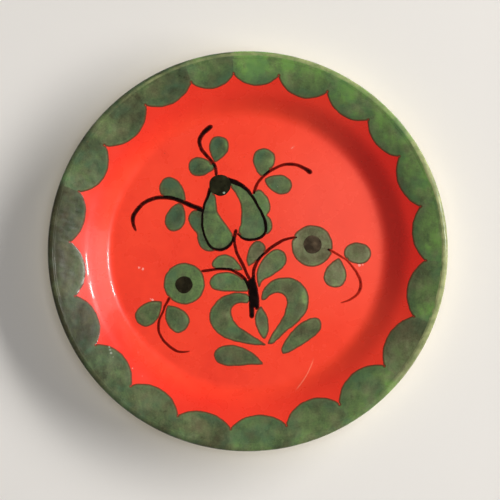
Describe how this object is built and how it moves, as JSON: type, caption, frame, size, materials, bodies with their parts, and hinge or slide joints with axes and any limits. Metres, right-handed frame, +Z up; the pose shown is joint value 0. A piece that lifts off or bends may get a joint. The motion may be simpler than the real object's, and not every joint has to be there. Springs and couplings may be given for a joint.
{
  "type": "hand painted ceramic plate",
  "caption": "Round ceramic plate on a foot ring, with a sunk well, a scalloped green border and a painted flower spray on red glaze.",
  "frame": {"origin": "centre of the foot ring on the surface that the plate rests on", "axes": "+Z up out of the well along the plate's axis, +Y towards the top of the painted spray, +X to its right"},
  "size_m": [0.25, 0.25, 0.0221],
  "materials": {
    "clay": "matte",
    "red_glaze": "gloss",
    "pale_glaze": "gloss",
    "back_glaze": "gloss",
    "border_enamel": "gloss",
    "green_enamel": "gloss",
    "black_enamel": "gloss"
  },
  "bodies": {
    "root": {"back_glaze": "back_glaze", "base_glaze": "back_glaze", "base_leaf_left": "green_enamel", "base_leaf_right": "green_enamel", "clay_body": "clay", "face_glaze": "red_glaze", "flower_left_disc": "green_enamel", "flower_left_eye": "black_enamel", "flower_right_disc": "green_enamel", "flower_right_eye": "black_enamel", "foot_ring": "clay", "heart_scroll_left": "green_enamel", "heart_scroll_right": "green_enamel", "heart_seed_leaf": "green_enamel", "leaves_left": "green_enamel", "leaves_low_left": "green_enamel", "leaves_low_right": "green_enamel", "leaves_right": "green_enamel", "leaves_top": "green_enamel", "lip_glaze": "pale_glaze", "scallop_01": "border_enamel", "scallop_02": "border_enamel", "scallop_03": "border_enamel", "scallop_04": "border_enamel", "scallop_05": "border_enamel", "scallop_06": "border_enamel", "scallop_07": "border_enamel", "scallop_08": "border_enamel", "scallop_09": "border_enamel", "scallop_10": "border_enamel", "scallop_11": "border_enamel", "scallop_12": "border_enamel", "scallop_13": "border_enamel", "scallop_14": "border_enamel", "scallop_15": "border_enamel", "scallop_16": "border_enamel", "scallop_17": "border_enamel", "scallop_18": "border_enamel", "scallop_19": "border_enamel", "scallop_20": "border_enamel", "scallop_21": "border_enamel", "stem": "black_enamel", "stem_leaf_lower_left": "green_enamel", "stem_leaf_lower_right": "green_enamel", "stem_leaf_upper_left": "green_enamel", "stem_leaf_upper_right": "green_enamel", "tendril_left": "black_enamel", "tendril_low_left": "black_enamel", "tendril_low_right": "black_enamel", "tendril_right": "black_enamel", "tendril_top": "black_enamel", "tulip_back_petal_left": "green_enamel", "tulip_back_petal_right": "green_enamel", "tulip_cap": "black_enamel", "tulip_outline": "black_enamel", "tulip_petal_left": "green_enamel", "tulip_petal_right": "green_enamel"}
  },
  "joints": []
}
